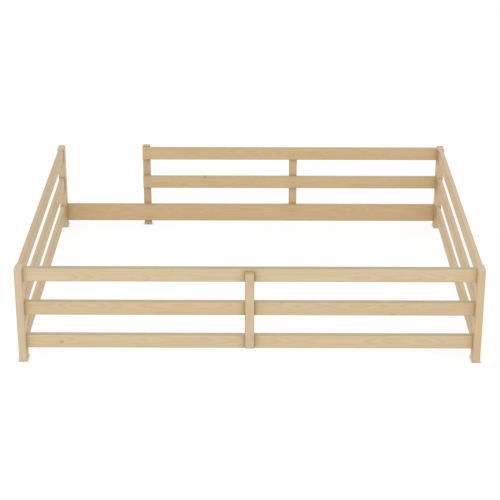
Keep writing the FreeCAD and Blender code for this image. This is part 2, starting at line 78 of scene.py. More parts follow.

# A kind of grain is noise with some detail, stretched by a scale along, through and
# across the board. It comes in from start to end of the noise's values, and share is how
# much of it shows.
Grain = namedtuple(
    "Grain", "along through across detail seed start end share", defaults=(0.0, 1.0, 1.0)
)
RAGGED = Grain(5.0, 60.0, 60.0, 3.0, 3.1, share=0.35)
FIBRE = Grain(14.0, 900.0, 900.0, 2.0, 11.0, 0.50, 0.85, 0.24)
STREAK = Grain(3.0, 160.0, 160.0, 2.0, 17.0, 0.45, 0.80, 0.16)
PATCH = Grain(2.4, 8.0, 14.0, 3.0, 23.0, 0.42, 0.72, 0.45)
DRIFT = Grain(9.0, 20.0, 26.0, 2.0, 29.0, 0.34, 0.66)
DUCT = Grain(55.0, 1600.0, 1600.0, 0.0, 31.0, 0.74, 0.80, 0.15)


def linear(red, green, blue):
    """A colour written as screen values from 0 to 255, in linear light."""
    parts = [value / 255 for value in (red, green, blue)]
    return tuple(p / 12.92 if p <= 0.04045 else ((p + 0.055) / 1.055) ** 2.4 for p in parts)


# A board: its grain runs along an axis, through is the axis of its thickness, pith is
# where the heart of the log lies from the board's middle, through and across it, tone is
# how much red, green and blue it keeps, dull is how strongly painted shade darkens its
# narrow sides, ends is how much paler its sawn ends are, or if below 0 how much painted
# shade darkens them, and knots are (along, across, radius) from its middle.
Board = namedtuple("Board", "grain through pith tone dull ends knots")

BOARDS = {
    "front_top_rail": Board("X", "Y", (0.082, -0.012), (1.00, 1.01, 1.00), 1.0, 0.0, []),
    "front_middle_rail": Board(
        "X", "Y", (0.064, 0.015), (0.98, 0.97, 0.93), 0.6, 0.0, [(0.650, -0.032, 0.006)]
    ),
    "front_bottom_rail": Board(
        "X", "Y", (0.074, 0.006), (1.01, 1.03, 1.01), 0.65, 0.0, [(-0.858, -0.004, 0.006)]
    ),
    "left_top_rail": Board(
        "Y", "X", (0.060, 0.010), (0.98, 0.95, 0.89), 0.5, 0.0, [(0.31, 0.012, 0.005)]
    ),
    "left_middle_rail": Board(
        "Y", "X", (0.078, -0.008), (0.99, 0.97, 0.92), 0.2, 0.0, [(-0.42, -0.02, 0.006)]
    ),
    "left_bottom_rail": Board(
        "Y", "X", (0.055, 0.004), (0.98, 0.95, 0.88), 0.0, 0.0, [(0.12, 0.018, 0.005)]
    ),
    "right_top_rail": Board(
        "Y", "X", (-0.066, 0.007), (1.00, 0.97, 0.90), 0.1, 0.0, [(-0.25, -0.014, 0.006)]
    ),
    "right_middle_rail": Board(
        "Y", "X", (-0.080, -0.014), (0.98, 0.96, 0.91), 0.0, 0.0, [(0.50, 0.022, 0.005)]
    ),
    "right_bottom_rail": Board(
        "Y", "X", (-0.058, 0.012), (0.98, 0.95, 0.88), 0.0, 0.0, [(0.05, -0.010, 0.004)]
    ),
    "rear_bottom_rail": Board("X", "Y", (0.090, 0.018), (0.96, 0.92, 0.81), 0.2, 0.0, []),
    "fence_middle_rail": Board(
        "X", "Y", (0.071, -0.010), (0.96, 0.94, 0.83), 0.15, 0.0, [(-0.465, 0.032, 0.006)]
    ),
    "fence_top_rail": Board("X", "Y", (0.066, 0.013), (0.97, 0.95, 0.85), 0.3, 0.0, []),
    "front_left_post": Board(
        "Z", "X", (0.048, -0.016), (1.01, 1.05, 1.05), 0.0, 0.9, [(0.06, 0.018, 0.004)]
    ),
    "front_right_post": Board(
        "Z", "X", (-0.052, 0.012), (1.01, 0.98, 0.90), 0.0, 0.9, [(-0.11, -0.015, 0.004)]
    ),
    "rear_left_post": Board(
        "Z", "X", (0.050, 0.014), (1.03, 1.04, 1.02), 0.0, 0.9, [(0.02, -0.02, 0.005)]
    ),
    "rear_right_post": Board(
        "Z", "X", (-0.047, -0.010), (1.00, 0.99, 0.91), 0.0, 0.9, [(-0.05, 0.019, 0.004)]
    ),
    "front_upright": Board("Z", "Y", (0.058, 0.009), (0.99, 1.00, 0.98), 0.3, -0.7, []),
    "rear_upright": Board("Z", "Y", (0.052, -0.011), (0.97, 0.93, 0.85), 0.3, -0.7, []),
    "fence_end_post": Board("Z", "Y", (0.055, 0.007), (0.89, 0.87, 0.76), 0.1, 0.9, []),
}
BOX = {name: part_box(name) for name in BOARDS}


class PineLook(bpy.types.PropertyGroup):
    """Colours and sizes of the lacquered pine."""

    early_colour: bpy.props.FloatVectorProperty(
        name="Early wood", description="Pale part of each growth ring",
        subtype="COLOR", size=3, default=linear(223, 201, 167), min=0, max=1,
    )
    late_colour: bpy.props.FloatVectorProperty(
        name="Late wood", description="Darker line that closes each growth ring",
        subtype="COLOR", size=3, default=linear(203, 173, 130), min=0, max=1,
    )
    warm_colour: bpy.props.FloatVectorProperty(
        name="Warm cast", description="Broad warmer patches along a board",
        subtype="COLOR", size=3, default=linear(219, 188, 151), min=0, max=1,
    )
    knot_colour: bpy.props.FloatVectorProperty(
        name="Knot", description="Heart of a knot",
        subtype="COLOR", size=3, default=linear(158, 113, 72), min=0, max=1,
    )
    rim_colour: bpy.props.FloatVectorProperty(
        name="Knot rim", description="Dark bark line round a knot",
        subtype="COLOR", size=3, default=linear(118, 80, 50), min=0, max=1,
    )
    ring_spacing: bpy.props.FloatProperty(
        name="Ring spacing", description="Width of one growth ring",
        subtype="DISTANCE", unit="LENGTH", default=0.0034, min=0.001, max=0.01,
    )
    ring_contrast: bpy.props.FloatProperty(
        name="Ring contrast", description="How much the late wood shows",
        subtype="FACTOR", default=0.27, min=0, max=1,
    )
    knot_contrast: bpy.props.FloatProperty(
        name="Knot contrast", description="How much the knots show",
        subtype="FACTOR", default=0.30, min=0, max=1,
    )
    sap_tint: bpy.props.FloatVectorProperty(
        name="Sapwood tint", description="What the yellower streaks keep of the wood colour",
        subtype="COLOR", size=3, default=(1.0, 1.007, 0.945), min=0, max=2,
    )
    heart_tint: bpy.props.FloatVectorProperty(
        name="Heartwood tint", description="What the pinker streaks keep of the wood colour",
        subtype="COLOR", size=3, default=(1.0, 0.988, 1.035), min=0, max=2,
    )
    # Painted shade: what a board's narrow sides keep of its colour.
    painted_side_tone: bpy.props.FloatVectorProperty(
        name="Narrow sides", description="What a board's narrow sides keep of its colour",
        subtype="COLOR", size=3, default=(0.70, 0.75, 0.79), min=0, max=1,
    )
    # A paler colour on the top end of a post, and how far from a sawn end it and the painted
    # shade at the uprights' ends reach.
    end_colour: bpy.props.FloatVectorProperty(
        name="Sanded end", description="Early wood on the sanded top of a post",
        subtype="COLOR", size=3, default=linear(216, 196, 169), min=0, max=1,
    )
    end_reach: bpy.props.FloatProperty(
        name="End reach", description="How far from a sawn end the wood looks different",
        subtype="DISTANCE", unit="LENGTH", default=0.0065, min=0.0005, max=0.05,
    )
    # A painted shade line along the rounded edges: its width, strength and colour.
    arris_width: bpy.props.FloatProperty(
        name="Arris width", description="How far the rounded edges look handled",
        subtype="DISTANCE", unit="LENGTH", default=0.0045, min=0.0005, max=0.02,
    )
    arris_shade: bpy.props.FloatProperty(
        name="Arris shade", description="How much the handled edges show",
        subtype="FACTOR", default=0.50, min=0, max=1,
    )
    arris_shade_colour: bpy.props.FloatVectorProperty(
        name="Handled edge", description="Greyish line that the lacquer leaves along an edge",
        subtype="COLOR", size=3, default=linear(158, 143, 116), min=0, max=1,
    )
    # Painted shade beside a joint: how far it fades out and what is left of the colour there.
    painted_joint_reach: bpy.props.FloatProperty(
        name="Joint reach", description="How far the dark line beside a joint fades out",
        subtype="DISTANCE", unit="LENGTH", default=0.011, min=0.001, max=0.1,
    )
    painted_joint_tone: bpy.props.FloatVectorProperty(
        name="Beside a joint", description="What is left of the colour right beside a joint",
        subtype="COLOR", size=3, default=(0.76, 0.69, 0.59), min=0, max=1,
    )
    roughness: bpy.props.FloatProperty(
        name="Roughness", description="Roughness of the satin lacquer",
        subtype="FACTOR", default=0.5, min=0, max=1,
    )


class BeechLook(bpy.types.PropertyGroup):
    """Colours of the beech dowels."""

    base_colour: bpy.props.FloatVectorProperty(
        name="Beech", description="Plain beech",
        subtype="COLOR", size=3, default=linear(212, 170, 124), min=0, max=1,
    )
    fleck_colour: bpy.props.FloatVectorProperty(
        name="Fleck", description="Short dark ray flecks in the beech",
        subtype="COLOR", size=3, default=linear(168, 118, 78), min=0, max=1,
    )


class SteelLook(bpy.types.PropertyGroup):
    """Colours and sizes of the zinc plated steel."""

    bright_colour: bpy.props.FloatVectorProperty(
        name="Bright zinc", description="Clean plating",
        subtype="COLOR", size=3, default=linear(206, 208, 211), min=0, max=1,
    )
    dull_colour: bpy.props.FloatVectorProperty(
        name="Dull zinc", description="Plating that has gone dull",
        subtype="COLOR", size=3, default=linear(168, 170, 172), min=0, max=1,
    )
    yellow_colour: bpy.props.FloatVectorProperty(
        name="Yellow zinc", description="Yellow plating of the wood screws",
        subtype="COLOR", size=3, default=linear(214, 190, 140), min=0, max=1,
    )
    brown_colour: bpy.props.FloatVectorProperty(
        name="Brown zinc", description="Darker clouds in the yellow plating",
        subtype="COLOR", size=3, default=linear(176, 146, 100), min=0, max=1,
    )
    thread_pitch: bpy.props.FloatProperty(
        name="Bolt thread pitch", description="Pitch of the connector bolt's thread",
        subtype="DISTANCE", unit="LENGTH", default=0.001, min=0.0005, max=0.003,
    )
    screw_pitch: bpy.props.FloatProperty(
        name="Screw thread pitch", description="Pitch of the wood screw's thread",
        subtype="DISTANCE", unit="LENGTH", default=0.002, min=0.0005, max=0.005,
    )


class StudioLook(bpy.types.PropertyGroup):
    """Camera, light and floor."""

    camera_place: bpy.props.FloatVectorProperty(
        name="Camera place", description="Where the camera stands",
        subtype="TRANSLATION", unit="LENGTH", size=3, default=(0.01970, -6.84016, 3.19400),
    )
    camera_tilt: bpy.props.FloatProperty(
        name="Tilt", description="How far the camera looks below the horizon",
        subtype="ANGLE", unit="ROTATION", default=math.radians(22.6457),
    )
    camera_turn: bpy.props.FloatProperty(
        name="Turn", description="How far the camera looks to the left of +Y",
        subtype="ANGLE", unit="ROTATION", default=math.radians(0.17516),
    )
    camera_roll: bpy.props.FloatProperty(
        name="Roll", description="Roll of the camera about its own line of sight",
        subtype="ANGLE", unit="ROTATION", default=math.radians(0.06911),
    )
    focal_pixels: bpy.props.FloatProperty(
        name="Focal length in pixels", description="Focal length over the size of a pixel",
        default=1480.29, min=100,
    )
    horizon_rise: bpy.props.FloatProperty(
        name="Rise in pixels",
        description="How far above the middle of the picture the line of sight meets it",
        default=26.214,
    )
    sky_strength: bpy.props.FloatProperty(
        name="Sky", description="Even light from all round",
        default=0.87, min=0,
    )
    key_power: bpy.props.FloatProperty(
        name="Key light", description="Power of the soft lamp above the camera",
        unit="POWER", default=66.0, min=0,
    )
    floor_colour: bpy.props.FloatVectorProperty(
        name="Floor", description="Pale studio floor",
        subtype="COLOR", size=3, default=(0.80, 0.80, 0.80), min=0, max=1,
    )
    floor_glow: bpy.props.FloatProperty(
        name="Floor glow", description="White that the camera sees under the floor's own shading",
        default=1.13, min=0,
    )
    glow_share: bpy.props.FloatProperty(
        name="Glow share",
        description="How much of what the camera sees of the floor is its glow",
        subtype="FACTOR", default=0.75, min=0, max=1,
    )
    # Painted contact shadow round the feet: how far it fades out and how dark it is.
    contact_shadow_reach: bpy.props.FloatProperty(
        name="Contact reach", description="How far the dark line round a foot fades out",
        subtype="DISTANCE", unit="LENGTH", default=0.0045, min=0.001, max=0.1,
    )
    contact_shadow_tone: bpy.props.FloatVectorProperty(
        name="Contact tone", description="What is left of the floor's white beside a foot",
        subtype="COLOR", size=3, default=(0.42, 0.39, 0.35), min=0, max=1,
    )


class Wire:
    """A value in a node tree. Arithmetic on wires and numbers adds Math nodes."""

    def __init__(self, finish, socket):
        self.finish = finish
        self.socket = socket

    def __add__(self, other):
        return self.finish.math("ADD", self, other)

    def __sub__(self, other):
        return self.finish.math("SUBTRACT", self, other)

    def __rsub__(self, other):
        return self.finish.math("SUBTRACT", other, self)

    def __mul__(self, other):
        return self.finish.math("MULTIPLY", self, other)

    def __truediv__(self, other):
        return self.finish.math("DIVIDE", self, other)

    __radd__ = __add__
    __rmul__ = __mul__

    def __abs__(self):
        return self.finish.math("ABSOLUTE", self)

    def output(self, name):
        """Another output of the node this wire comes from."""
        return Wire(self.finish, self.socket.node.outputs[name])


class Finish:
    """The node tree of a material or of the sky, under construction."""

    def __init__(self, owner):
        owner.use_nodes = True
        self.owner = owner
        self.tree = owner.node_tree
        self.tree.nodes.clear()

    def add(self, kind, settings=(), inputs=(), output=0):
        """Add a node: its settings, set first, then the values or wires of its sockets."""
        node = self.tree.nodes.new(kind)
        for name, value in dict(settings).items():
            setattr(node, name, value)
        for name, value in dict(inputs).items():
            if isinstance(value, Wire):
                self.tree.links.new(value.socket, node.inputs[name])
            else:
                node.inputs[name].default_value = value
        return Wire(self, node.outputs[output]) if node.outputs else None

    def math(self, operation, *values):
        return self.add("ShaderNodeMath", {"operation": operation}, enumerate(values))

    def vector_math(self, operation, *values, output=0):
        return self.add(
            "ShaderNodeVectorMath", {"operation": operation}, enumerate(values), output
        )

    def step(self, value, start, end):
        """0 below start and 1 past end, smooth between them."""
        return self.add(
            "ShaderNodeMapRange", {"interpolation_type": "SMOOTHSTEP"},
            {"Value": value, "From Min": start, "From Max": end, "To Min": 0.0, "To Max": 1.0},
        )

    def edge(self, value, limit, fade):
        """0 in the middle and 1 at both limits, rising over the fade inside them."""
        start, end = fade
        return self.step(abs(value), limit - start, limit - end)

    def vector(self, x, y, z):
        return self.add("ShaderNodeCombineXYZ", inputs={"X": x, "Y": y, "Z": z})

    def noise(self, vector, scale, detail, seed):
        """Noise from 0 to 1; each seed gives other noise."""
        return self.add(
            "ShaderNodeTexNoise", {"noise_dimensions": "4D"},
            {"Vector": vector, "W": seed, "Scale": scale, "Detail": detail, "Roughness": 0.55},
        )

    def bump(self, height, strength, distance):
        return self.add("ShaderNodeBump", inputs={
            "Strength": strength, "Distance": distance, "Height": height,
        })

    def colour_mix(self, share, first, second, mode="MIX"):
        """A blend of two colours: first at share 0, second at share 1."""
        return self.add(
            "ShaderNodeMix", {"data_type": "RGBA", "blend_type": mode},
            {0: share, 6: first, 7: second}, output=2,
        )

    def close(self, colour, roughness, normal=None, **settings):
        """Close the tree with one Principled shader; settings are its plain sockets."""
        inputs = {"Base Color": colour, "Roughness": roughness}
        inputs.update({name.replace("_", " "): value for name, value in settings.items()})
        if normal:
            inputs["Normal"] = normal
        shader = self.add("ShaderNodeBsdfPrincipled", inputs=inputs)
        self.add("ShaderNodeOutputMaterial", inputs={"Surface": shader})
        return self.owner


def rgba(colour, tone=1.0):
    """A colour with its alpha, darker if the tone is below 1."""
    return (*(channel * tone for channel in colour), 1.0)


def new_material(name):
    return Finish(bpy.data.materials.new(name))


def middle_and_half(low, high):
    """A box as the vectors of its middle and of half its size."""
    return (low + high) / 2, (high - low) / 2


def touching_boards(name):
    """The boxes of the boards that stand against a board, as (middle, half size)."""
    low, high = BOX[name]
    boxes = []
    for other, (other_low, other_high) in BOX.items():
        near = all(
            other_low[i] < high[i] + TOUCHING and low[i] < other_high[i] + TOUCHING
            for i in range(3)
        )
        if other != name and near:
            boxes.append(middle_and_half(other_low, other_high))
    return boxes


def painted_contact_shade(finish, place, height, boxes, reach):
    """Painted shade: 1 where a box stands against this surface, fading over the reach beside it.

    It fades twice as fast above the box, where the light from above gets in.
    """
    shade = 0.0
    for middle, half in boxes:
        apart = finish.vector_math("ABSOLUTE", finish.vector_math("SUBTRACT", place, middle))
        outside = finish.vector_math(
            "MAXIMUM", finish.vector_math("SUBTRACT", apart, half), (0.0, 0.0, 0.0)
        )
        above = finish.math("MAXIMUM", height - (middle.z + half.z), 0.0)
        distance = finish.vector_math("LENGTH", outside, output="Value") + above
        shade = finish.math("MAXIMUM", shade, finish.math("EXPONENT", distance / -reach))
    return shade


def grain_noise(finish, position, grain, seed):
    """The noise of a kind of grain, position being along, through and across the board."""
    stretched = finish.vector(
        position[0] * grain.along, position[1] * grain.through, position[2] * grain.across
    )
    return finish.noise(stretched, scale=1.0, detail=grain.detail, seed=seed + grain.seed)


def grain_mask(finish, position, grain, seed):
    """0 to 1 where a kind of grain comes in."""
    return finish.step(grain_noise(finish, position, grain, seed), grain.start, grain.end)


def heart_distance(finish, position, pith, seed):
    """How far a point is from the heart of the log.

    The heart wanders along the board, which draws the arches on its faces.
    """
    along, through, across = position
    flatten, wander_through, wander_across = 0.2, 0.050, 0.030
    slow = finish.vector(along, through * flatten, across * flatten)
    drift_through = finish.noise(slow, scale=1.7, detail=2.0, seed=seed) - 0.5
    drift_across = finish.noise(slow, scale=1.9, detail=2.0, seed=seed + 7.3) - 0.5
    from_heart = finish.vector(
        through + drift_through * wander_through - pith[0],
        across + drift_across * wander_across - pith[1],
        0.0,
    )
    return finish.vector_math("LENGTH", from_heart, output="Value")


def knotted(finish, position, knots, ring_radius):
    """Masks of the knots and their rims, and the rings' radius, swollen round each knot.

    A knot is the section of a branch that runs straight through the board, and the
    distance from it is counted in its own radii.
    """
    along, _, across = position
    stretch, swell, fade = 1.35, 1.6, 0.12
    knot, rim = 0.0, 0.0
    for knot_along, knot_across, radius in knots:
        far = finish.vector_math("LENGTH", finish.vector(
            (along - knot_along) / (stretch * radius), (across - knot_across) / radius, 0.0
        ), output="Value")
        swelling = finish.math("EXPONENT", far * far * -fade) * (swell * radius)
        ring_radius = ring_radius + swelling
        knot = finish.math("MAXIMUM", knot, 1.0 - finish.step(far, 0.75, 1.05))
        bark = finish.step(far, 0.55, 0.95) * (1.0 - finish.step(far, 1.0, 1.5))
        rim = finish.math("MAXIMUM", rim, bark)
    return knot, rim, ring_radius


def pine(name, board, look):
    """Lacquered pine, cut from the log as the board says: rings, fibres, knots and end grain."""
    low, high = BOX[name]
    axes = [board.grain, board.through]
    axes += [axis for axis in "XYZ" if axis not in axes]
    order = ["XYZ".index(axis) for axis in axes]
    middle = (low + high) / 2
    half = [(high - low)[index] / 2 for index in order]
    seed = random.Random(name).uniform(0, 50)

    finish = new_material(f"pine_{name}")
    place = finish.add("ShaderNodeTexCoord", output="Object")
    split = finish.add("ShaderNodeSeparateXYZ", inputs={0: place})
    height = split.output("Z")
    position = [split.output(axis) - middle[index] for axis, index in zip(axes, order)]
    along, through, across = position

    # Growth rings with their late wood, fibres, resin ducts and broader areas of colour.
    ring_radius = heart_distance(finish, position, board.pith, seed)
    knot, rim, ring_radius = knotted(finish, position, board.knots, ring_radius)
    ragged = (grain_noise(finish, position, RAGGED, seed) - 0.5) * RAGGED.share
    ring = finish.math("FRACT", ring_radius / look.ring_spacing + ragged)
    late = finish.step(ring, 0.25, 0.85) * (1.0 - finish.step(ring, 0.90, 1.0))
    fibre = grain_noise(finish, position, FIBRE, seed)
    streak, duct, patch, drift = (
        grain_mask(finish, position, grain, seed) for grain in (STREAK, DUCT, PATCH, DRIFT)
    )
    streaks = finish.step(fibre, FIBRE.start, FIBRE.end) * FIBRE.share
    streaks = streaks + streak * STREAK.share + duct * DUCT.share

    # The narrow sides of the board and its arrises, which get painted shade, its sawn ends, and
    # the painted shade beside a joint.
    arris = (finish.edge(through, half[1], (look.arris_width, 0.0))
             * finish.edge(across, half[2], (look.arris_width, 0.0)))
    narrow_side_shade = finish.edge(across, half[2], SIDE_FADE)
    cut_end = finish.edge(along, half[0], CUT_FADE)
    by_end = finish.edge(along, half[0], (look.end_reach, look.end_reach / 2))
    top_side = finish.step(height, high.z - SIDE_FADE[0], high.z - SIDE_FADE[1])
    joint_painted_shade = painted_contact_shade(finish, place, height, touching_boards(name), look.painted_joint_reach)
    joint_painted_shade = joint_painted_shade * (1.0 - top_side * TOP_LIGHT)
    # Boards whose ends are below 0 get painted shade at their ends, joined to the painted joint
    # shade.
    pale_end, dark_end_shade = max(board.ends, 0.0), max(-board.ends, 0.0)
    painted_shade_mask = finish.math("MAXIMUM", joint_painted_shade, by_end * dark_end_shade)

    wood = finish.colour_mix(
        late * (look.ring_contrast + CUT_RINGS * cut_end), rgba(look.early_colour),
        rgba(look.late_colour),
    )
    wood = finish.colour_mix(patch * PATCH.share, wood, rgba(look.warm_colour))
    tint = finish.colour_mix(drift, rgba(look.sap_tint), rgba(look.heart_tint))
    wood = finish.colour_mix(1.0, wood, tint, mode="MULTIPLY")
    wood = finish.colour_mix(streaks, wood, rgba(look.late_colour, 0.85))
    wood = finish.colour_mix(knot * look.knot_contrast, wood, rgba(look.knot_colour))
    wood = finish.colour_mix(rim * look.knot_contrast, wood, rgba(look.rim_colour))
    wood = finish.colour_mix(cut_end * CUT_SHADE, wood, rgba(look.late_colour, 0.80))
    # Painted shade on the narrow sides.
    wood = finish.colour_mix(
        narrow_side_shade * board.dull, wood, rgba(look.painted_side_tone), mode="MULTIPLY"
    )
    # Painted shade: a greyish line along the rounded edges.
    wood = finish.colour_mix(arris * look.arris_shade, wood, rgba(look.arris_shade_colour))
    # Painted shade beside the joints, and at the ends of the uprights.
    wood = finish.colour_mix(painted_shade_mask, wood, rgba(look.painted_joint_tone), mode="MULTIPLY")
    wood = finish.colour_mix(1.0, wood, rgba(board.tone), mode="MULTIPLY")
    # A paler colour over the top end of a post and just below it, laid over the painted joint
    # shade there.
    pale_end_colour = finish.colour_mix(
        late * PALE_END_RINGS, rgba(look.end_colour), rgba(look.late_colour)
    )
    wood = finish.colour_mix(by_end * pale_end, wood, pale_end_colour)

    relief = late * 0.5 - fibre * 0.35 - duct * 0.4 - rim * 0.6
    bump = finish.bump(relief, strength=0.22, distance=0.0004)
    roughness = look.roughness + fibre * 0.12 - late * 0.07 + cut_end * 0.18 - arris * 0.08
    return finish.close(wood, roughness, bump, IOR=1.45, Specular_IOR_Level=0.35)


def beech(look):
    """Plain beech with short ray flecks."""
    finish = new_material("beech")
    place = finish.add("ShaderNodeTexCoord", output="Object")
    stretched = finish.vector_math("MULTIPLY", place, (120.0, 900.0, 900.0))
    fleck = finish.step(finish.noise(stretched, scale=1.0, detail=1.0, seed=4.0), 0.58, 0.70)
    cloud = finish.noise(place, scale=60.0, detail=3.0, seed=9.0)
    wood = finish.colour_mix(fleck * 0.6, rgba(look.base_colour), rgba(look.fleck_colour))
    wood = finish.colour_mix(cloud * 0.2, wood, rgba(look.fleck_colour))
    bump = finish.bump(fleck, strength=0.2, distance=0.0002)
    return finish.close(wood, 0.6 + cloud * 0.15, bump)


def zinc(name, clean, clouded):
    """Zinc plating of two colours, with clouds and fine scratches."""
    finish = new_material(name)
    place = finish.add("ShaderNodeTexCoord", output="Object")
    cloud = finish.noise(place, scale=180.0, detail=4.0, seed=2.0)
    stretched = finish.vector_math("MULTIPLY", place, (4000.0, 300.0, 700.0))
    scratch = finish.step(finish.noise(stretched, scale=1.0, detail=2.0, seed=6.0), 0.60, 0.75)
    plating = finish.colour_mix(finish.step(cloud, 0.35, 0.7), rgba(clean), rgba(clouded))
    bump = finish.bump(scratch, strength=0.15, distance=0.0001)
    return finish.close(plating, 0.26 + cloud * 0.16 + scratch * 0.12, bump, Metallic=1.0)


def bright_zinc(look):
    """The plating of the connector bolts and barrel nuts, made once."""
    made = bpy.data.materials.get("bright_zinc")
    return made or zinc("bright_zinc", look.bright_colour, look.dull_colour)


def paint(node, material):
    """Give a CAD node its finish."""
    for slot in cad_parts[node].material_slots:
        slot.material = material


def finish_boards(look, names):
    """Give each named board a piece of pine of its own."""
    for name in names:
        paint(name, pine(name, BOARDS[name], look))


def solid_boxes(node):
    """The (low, high) corners of every separate solid of a CAD node."""
    same_point, digits = 1e-6, 4
    mesh = bmesh.new()
    mesh.from_mesh(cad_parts[node].data)
    bmesh.ops.remove_doubles(mesh, verts=mesh.verts, dist=same_point)
    waiting = set(mesh.verts)
    boxes = []
    while waiting:
        front = [waiting.pop()]
        low, high = front[0].co.copy(), front[0].co.copy()
        while front:
            vertex = front.pop()
            low = Vector(map(min, low, vertex.co))
            high = Vector(map(max, high, vertex.co))
            near = {edge.other_vert(vertex) for edge in vertex.link_edges} & waiting
            waiting -= near
            front.extend(near)
        boxes.append((low, high))
    mesh.free()
    return sorted(boxes, key=lambda box: tuple(round(value, digits) for value in box[0]))


def turned(mesh, place, angles, rings):
    """Add a turned form to a mesh: rings are (height, radius or radius(angle)) up its axis."""
    loops = []
    for height, radius in rings:
        at = radius if callable(radius) else lambda angle, fixed=radius: fixed
        loops.append([
            mesh.verts.new(place @ Vector((at(a) * math.cos(a), at(a) * math.sin(a), height)))
            for a in angles
        ])
    count = len(angles)
    for lower, upper in zip(loops, loops[1:]):
        for index in range(count):
            following = (index + 1) % count
            mesh.faces.new((lower[index], lower[following], upper[following], upper[index]))
    for loop, height, turn in ((loops[0], rings[0][0], -1), (loops[-1], rings[-1][0], 1)):
        middle = mesh.verts.new(place @ Vector((0, 0, height)))
        for index in range(count):
            corners = (loop[index], loop[(index + 1) % count], middle)
            mesh.faces.new(corners[::turn])


def replacement(node, material, build):
    """A detailed piece in place of a CAD node: build(mesh, box) adds one fastener."""
    sharp_angle = math.radians(35)
    mesh = bmesh.new()
    for box in solid_boxes(node):
        build(mesh, box)
    bmesh.ops.recalc_face_normals(mesh, faces=mesh.faces)
    data = bpy.data.meshes.new(f"{node}_detailed")
    mesh.to_mesh(data)
    mesh.free()
    data.materials.append(material)
    piece = bpy.data.objects.new(f"{node}_detailed", data)
    bpy.context.scene.collection.objects.link(piece)
    data.shade_smooth()
    data.set_sharp_from_angle(angle=sharp_angle)
    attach(piece, "root")
    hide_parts(node)


def even_angles(count):
    return [2 * math.pi * index / count for index in range(count)]


def turned_place(box, axis, head_at_low):
    """A turned form's frame: its origin at one end of the box's axis, +Z into the box."""
    low, high = box
    start = (low + high) / 2
    start[axis] = low[axis] if head_at_low else high[axis]
    inward = Vector((0, 0, 0))
    inward[axis] = 1.0 if head_at_low else -1.0
    return Matrix.Translation(start) @ inward.to_track_quat("Z", "Y").to_matrix().to_4x4()


def thread_rings(start, end, root, crest, pitch, steps=4):
    """Rings of a helical thread from start to end, which fades out at both ends.

    Root and crest are its radii, and steps is how many rings make one turn of it.
    """
    rings = []
    count = int((end - start) / pitch * steps)
    for index in range(count + 1):
        height = start + (end - start) * index / count
        fade = min(1.0, (height - start) / pitch, (end - height) / pitch)

        def radius(angle, height=height, fade=fade):
            turn = (height / pitch - angle / (2 * math.pi)) % 1.0
            return root + (crest - root) * (1 - abs(2 * turn - 1)) * fade
        rings.append((height, radius))
    return rings


def add_connector_bolt(mesh, box, pitch):
    """A flat head with a hexagon socket, a plain shank and a threaded end.

    Its head is on the outer side of the post.
    """
    low, high = box
    place = turned_place(box, 0, head_at_low=(low + high)[0] < 0)
    length = high[0] - low[0]
    head = (high[1] - low[1]) / 2
    head_height, shank, rim = 0.0025, 0.003, 0.0005
    key, socket_depth = 0.002, 0.002
    thread_length, thread_depth, tip = 0.030, 0.0006, 0.001
    sides = 24

    def hexagon(angle):
        return key / math.cos((angle + math.pi / 6) % (math.pi / 3) - math.pi / 6)
    thread = thread_rings(
        length - thread_length, length - tip, shank - thread_depth, shank, pitch
    )
    turned(mesh, place, even_angles(sides), [
        (socket_depth, hexagon),
        (rim / 2, hexagon),
        (0.0, lambda angle: hexagon(angle) + rim / 2),
        (0.0, head - 2 * rim),
        (rim / 2, head - rim / 2),
        (rim, head),
        (head_height - rim, head),
        (head_height, head - rim),
        (head_height, shank),
        (length - thread_length - tip, shank),
        *thread,
        (length, shank - tip),
    ])


def add_dowel(mesh, box):
    """A fluted dowel with chamfered ends."""
    low, high = box
    place = turned_place(box, 0, head_at_low=True)
    length = high[0] - low[0]
    radius = (high[1] - low[1]) / 2
    flute, chamfer = 0.00025, 0.001
    flutes = 20

    def fluted(angle):
        return radius - flute * (0.5 - 0.5 * math.cos(flutes * angle))

    def eased(angle):
        return min(fluted(angle), radius - flute / 4)
    turned(mesh, place, even_angles(3 * flutes), [
        (0.0, radius - chamfer),
        (chamfer, eased),
        (1.5 * chamfer, fluted),
        (length - 1.5 * chamfer, fluted),
        (length - chamfer, eased),
        (length, radius - chamfer),
    ])


def add_wood_screw(mesh, box, pitch):
    """A countersunk head with a cross recess, a shank, a coarse thread and a point.

    Its head is on the side where the mattress lies.
    """
    low, high = box
    place = turned_place(box, 1, head_at_low=low[1] > 0)
    length = high[1] - low[1]
    head = (high[0] - low[0]) / 2
    shank, rim, tip = 0.00225, 0.0002, 0.0003
    recess, arm, slot = 0.0016, 0.0022, 0.00055
    floor_arm, floor_slot = arm * 0.55, slot * 0.6
    thread_start, thread_depth, point, blend = 0.012, 0.0007, 0.004, 0.0005

    def cross(angle, arm=arm, slot=slot):
        along, aside = (max(abs(side), 1e-9) for side in (math.cos(angle), math.sin(angle)))
        return max(min(arm / along, slot / aside), min(arm / aside, slot / along))
    corner = math.atan(slot / arm)
    angles = sorted(
        (quarter * math.pi / 2 + turn) % (2 * math.pi)
        for quarter in range(4)
        for turn in (-corner, 0.0, corner, math.pi / 6, math.pi / 4, math.pi / 3)
    )
    thread = thread_rings(
        thread_start, length - point, shank - thread_depth, shank, pitch, steps=5
    )
    turned(mesh, place, angles, [
        (recess, lambda angle: cross(angle, floor_arm, floor_slot)),
        (0.0, cross),
        (0.0, head - rim),
        (rim, head),
        (head - shank, shank),
        (thread_start - blend, shank),
        *thread,
        (length - blend, tip),
    ])


class FLOORBED_OT_corner_posts(bpy.types.Operator):
    """Finish the four corner posts"""

    bl_idname = "floor_bed.corner_posts"
    bl_label = "Corner posts"

    def execute(self, context):
        finish_boards(context.scene.bed_pine, [f"{corner}_post" for corner in CORNERS])
        return {"FINISHED"}


